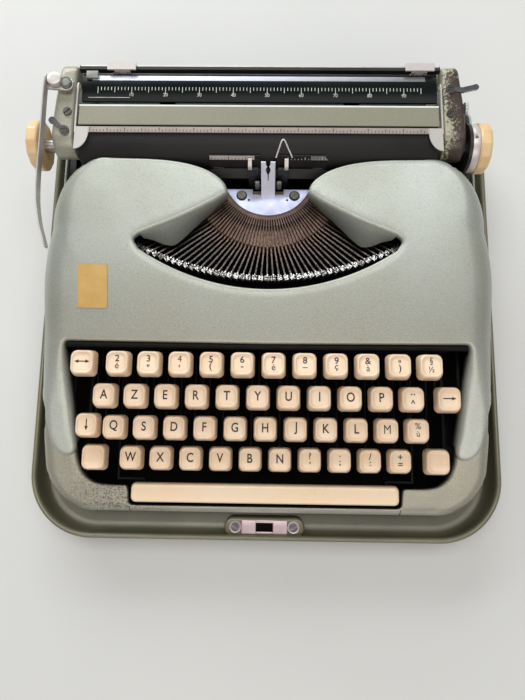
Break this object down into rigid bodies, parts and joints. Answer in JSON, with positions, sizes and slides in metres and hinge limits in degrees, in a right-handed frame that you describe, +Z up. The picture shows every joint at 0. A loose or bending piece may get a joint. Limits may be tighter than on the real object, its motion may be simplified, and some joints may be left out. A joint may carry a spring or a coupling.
{
  "type": "portable typewriter",
  "caption": "Manual portable typewriter in its carrying tray, with sprung key rows, sliding carriage, turning platen, paper bail, levers and adjustable margin stops.",
  "frame": {"origin": "under the middle of the tray, on the table", "axes": "+X to the typist's right, +Y away from the typist, +Z up"},
  "size_m": [0.318, 0.314, 0.1102],
  "materials": {
    "tray_paint": "semi-gloss olive enamel",
    "cover_paint": "sage crinkle enamel",
    "frame_black": "black japan",
    "table_black": "glossy black enamel",
    "bright_chrome": "polished",
    "bare_steel": "brushed",
    "blued_steel": "oiled",
    "segment_bronze": "machined",
    "key_ivory": "polished",
    "knob_cream": "polished",
    "platen_rubber": "matte",
    "foot_rubber": "matte",
    "ribbon_cloth": "inked"
  },
  "bodies": {
    "machine": {"base_tray": "tray_paint", "tray_feet": "foot_rubber", "latch_plate": "bright_chrome", "latch_screws": "bright_chrome", "base_frame": "frame_black", "front_apron": "cover_paint", "top_cover": "cover_paint", "rear_cover": "cover_paint", "key_rod": "bare_steel", "basket_frame": "frame_black", "segment": "segment_bronze", "segment_plate": "bright_chrome", "segment_screws": "blued_steel", "typebars": "bare_steel", "type_rest": "frame_black", "card_holders": "frame_black", "carriage_rails": "bare_steel", "ribbon": "ribbon_cloth"},
    "number_row": {"number_row_caps": "key_ivory", "number_row_levers": "frame_black"},
    "top_row": {"top_row_caps": "key_ivory", "top_row_levers": "frame_black"},
    "home_row": {"home_row_caps": "key_ivory", "home_row_levers": "frame_black"},
    "bottom_row": {"bottom_row_caps": "key_ivory", "bottom_row_levers": "frame_black"},
    "space": {"space_bar": "key_ivory", "space_bar_arms": "frame_black"},
    "margin_release": {"margin_release_key": "key_ivory"},
    "tab": {"tab_key": "key_ivory"},
    "shift_lock": {"shift_lock_key": "key_ivory"},
    "shift": {"shift_key_left": "key_ivory", "shift_key_right": "key_ivory", "shift_yoke": "frame_black"},
    "vibrator": {"ribbon_vibrator": "frame_black"},
    "spool_left": {"ribbon_spool_left": "frame_black"},
    "spool_right": {"ribbon_spool_right": "frame_black"},
    "drum": {"mainspring_drum": "bare_steel"},
    "carriage": {"carriage_bed": "frame_black", "left_cheek": "cover_paint", "right_cheek": "cover_paint", "cheek_screws": "bright_chrome", "paper_table": "table_black", "paper_deflector": "cover_paint", "margin_rail": "bright_chrome"},
    "roll": {"platen": "platen_rubber", "platen_shaft": "bare_steel", "left_knob": "knob_cream", "right_knob": "knob_cream", "knob_drum": "bright_chrome", "platen_end_rings": "frame_black"},
    "feed": {"feed_roller": "platen_rubber"},
    "bail": {"paper_bail": "bright_chrome"},
    "return_arm": {"return_lever": "bright_chrome"},
    "line_space": {"line_space_lever": "bright_chrome"},
    "paper_release": {"paper_release_lever": "bright_chrome"},
    "carriage_release": {"carriage_release_lever": "cover_paint"},
    "stop_left": {"margin_stop_left": "bright_chrome"},
    "stop_right": {"margin_stop_right": "bright_chrome"}
  },
  "joints": [
    {"name": "number_row_press", "type": "hinge", "parent": "machine", "child": "number_row", "pos_m": [0, 0.084, 0.034], "axis": [1, 0, 0], "range_deg": [0, 4], "stiffness_Nm_per_rad": 3, "springref_deg": -5.73},
    {"name": "top_row_press", "type": "hinge", "parent": "machine", "child": "top_row", "pos_m": [0, 0.084, 0.034], "axis": [1, 0, 0], "range_deg": [0, 4], "stiffness_Nm_per_rad": 3, "springref_deg": -5.73},
    {"name": "home_row_press", "type": "hinge", "parent": "machine", "child": "home_row", "pos_m": [0, 0.084, 0.034], "axis": [1, 0, 0], "range_deg": [0, 4], "stiffness_Nm_per_rad": 3, "springref_deg": -5.73},
    {"name": "bottom_row_press", "type": "hinge", "parent": "machine", "child": "bottom_row", "pos_m": [0, 0.084, 0.034], "axis": [1, 0, 0], "range_deg": [0, 4], "stiffness_Nm_per_rad": 3, "springref_deg": -5.73},
    {"name": "space_press", "type": "hinge", "parent": "machine", "child": "space", "pos_m": [0, 0.084, 0.034], "axis": [1, 0, 0], "range_deg": [0, 4], "stiffness_Nm_per_rad": 2, "springref_deg": -5.73},
    {"name": "margin_release_press", "type": "hinge", "parent": "machine", "child": "margin_release", "pos_m": [0, 0.084, 0.034], "axis": [1, 0, 0], "range_deg": [0, 4], "stiffness_Nm_per_rad": 0.3, "springref_deg": -5.73},
    {"name": "tab_press", "type": "hinge", "parent": "machine", "child": "tab", "pos_m": [0, 0.084, 0.034], "axis": [1, 0, 0], "range_deg": [0, 4], "stiffness_Nm_per_rad": 0.3, "springref_deg": -5.73},
    {"name": "shift_lock_press", "type": "hinge", "parent": "machine", "child": "shift_lock", "pos_m": [0, 0.084, 0.034], "axis": [1, 0, 0], "range_deg": [0, 4], "stiffness_Nm_per_rad": 0.3, "springref_deg": -5.73},
    {"name": "shift_press", "type": "hinge", "parent": "machine", "child": "shift", "pos_m": [0, 0.084, 0.034], "axis": [1, 0, 0], "range_deg": [0, 4], "stiffness_Nm_per_rad": 3, "springref_deg": -5.73},
    {"name": "ribbon_lift", "type": "slide", "parent": "machine", "child": "vibrator", "axis": [0, 0, 1], "range_m": [0, 0.008], "deforming": ["ribbon"]},
    {"name": "spool_left_spin", "type": "hinge", "parent": "machine", "child": "spool_left", "pos_m": [-0.1, 0.054, 0.07], "axis": [0, 0, 1], "continuous": true},
    {"name": "spool_right_spin", "type": "hinge", "parent": "machine", "child": "spool_right", "pos_m": [0.1, 0.054, 0.07], "axis": [0, 0, 1], "continuous": true},
    {"name": "drum_spin", "type": "hinge", "parent": "machine", "child": "drum", "pos_m": [-0.105, 0.114, 0.036], "axis": [0, 1, 0], "continuous": true},
    {"name": "carriage_slide", "type": "slide", "parent": "machine", "child": "carriage", "axis": [1, 0, 0], "range_m": [-0.0885, 0.1015]},
    {"name": "platen_turn", "type": "hinge", "parent": "carriage", "child": "roll", "pos_m": [-0.0065, 0.092, 0.086], "axis": [1, 0, 0], "continuous": true},
    {"name": "feed_turn", "type": "hinge", "parent": "carriage", "child": "feed", "pos_m": [-0.0065, 0.10724, 0.07321], "axis": [1, 0, 0], "continuous": true},
    {"name": "bail_lift", "type": "hinge", "parent": "carriage", "child": "bail", "pos_m": [-0.0065, 0.124, 0.0994], "axis": [-1, 0, 0], "range_deg": [0, 70]},
    {"name": "return_swing", "type": "hinge", "parent": "carriage", "child": "return_arm", "pos_m": [-0.124, 0.122, 0.105], "axis": [0, 0, 1], "range_deg": [0, 25], "stiffness_Nm_per_rad": 0.05, "springref_deg": -5.73},
    {"name": "line_space_swing", "type": "hinge", "parent": "carriage", "child": "line_space", "pos_m": [-0.1245, 0.093, 0.103], "axis": [0, 0, 1], "range_deg": [-20, 15]},
    {"name": "paper_release_swing", "type": "hinge", "parent": "carriage", "child": "paper_release", "pos_m": [0.111, 0.122, 0.103], "axis": [0, 0, -1], "range_deg": [0, 25]},
    {"name": "carriage_release_tip", "type": "hinge", "parent": "carriage", "child": "carriage_release", "pos_m": [0.121, 0.118, 0.082], "axis": [1, 0, 0], "range_deg": [0, 12], "stiffness_Nm_per_rad": 0.02, "springref_deg": -11.46},
    {"name": "stop_left_slide", "type": "slide", "parent": "carriage", "child": "stop_left", "axis": [1, 0, 0], "range_m": [-0.016, 0.07]},
    {"name": "stop_right_slide", "type": "slide", "parent": "carriage", "child": "stop_right", "axis": [1, 0, 0], "range_m": [-0.075, 0.003]}
  ],
  "couplings": [
    {"joint": "spool_right_spin", "follows": "spool_left_spin", "ratio": 1},
    {"joint": "drum_spin", "follows": "carriage_slide", "rad_per_m": 62.5},
    {"joint": "feed_turn", "follows": "platen_turn", "ratio": -3.2609}
  ]
}
